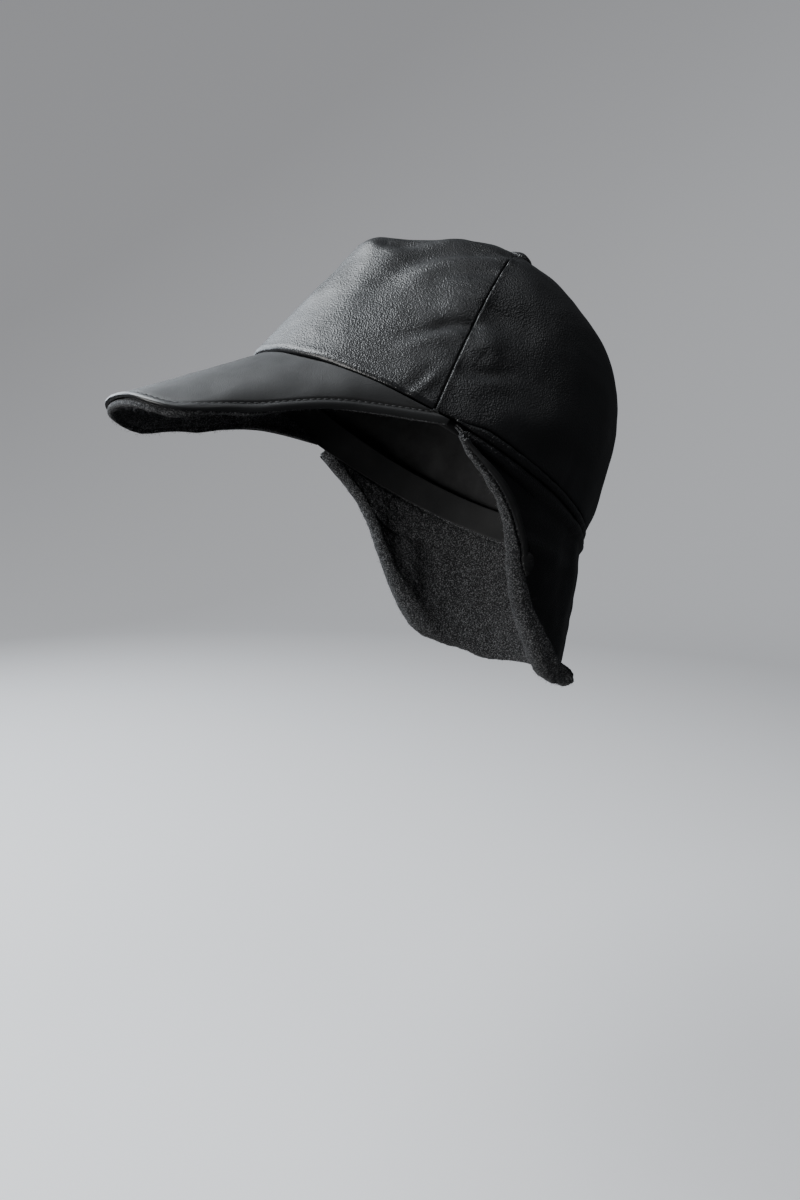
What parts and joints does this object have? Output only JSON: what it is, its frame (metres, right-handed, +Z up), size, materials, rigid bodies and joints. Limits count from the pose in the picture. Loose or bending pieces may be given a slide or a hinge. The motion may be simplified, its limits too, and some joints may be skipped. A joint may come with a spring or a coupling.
{
  "type": "aviator hat",
  "caption": "Soft black leather cap with a long curved peak, a crown of stitched panels, a covered top button and a felt-lined flap that hangs over the ears and neck.",
  "frame": {"origin": "centre of the head opening's rim, with the cap in its worn position", "axes": "+X to the wearer's left, -Y to the front, +Z up; the rim is tipped back 27 degrees"},
  "size_m": [0.1736, 0.2737, 0.2388],
  "materials": {
    "grained_leather": "soft grained leather with a low sheen",
    "smooth_leather": "smooth leather, nearly matt",
    "wool_felt": "matt fuzzy wool felt"
  },
  "bodies": {
    "root": {"front_panel": "grained_leather", "left_rear_panel": "grained_leather", "right_rear_panel": "grained_leather", "crown_button": "grained_leather", "rear_hem": "grained_leather", "inner_band": "smooth_leather", "peak_upper": "smooth_leather", "peak_lining": "wool_felt", "flap_leather": "grained_leather", "flap_lining": "wool_felt", "left_edge_strip": "smooth_leather", "right_edge_strip": "smooth_leather"}
  },
  "joints": []
}
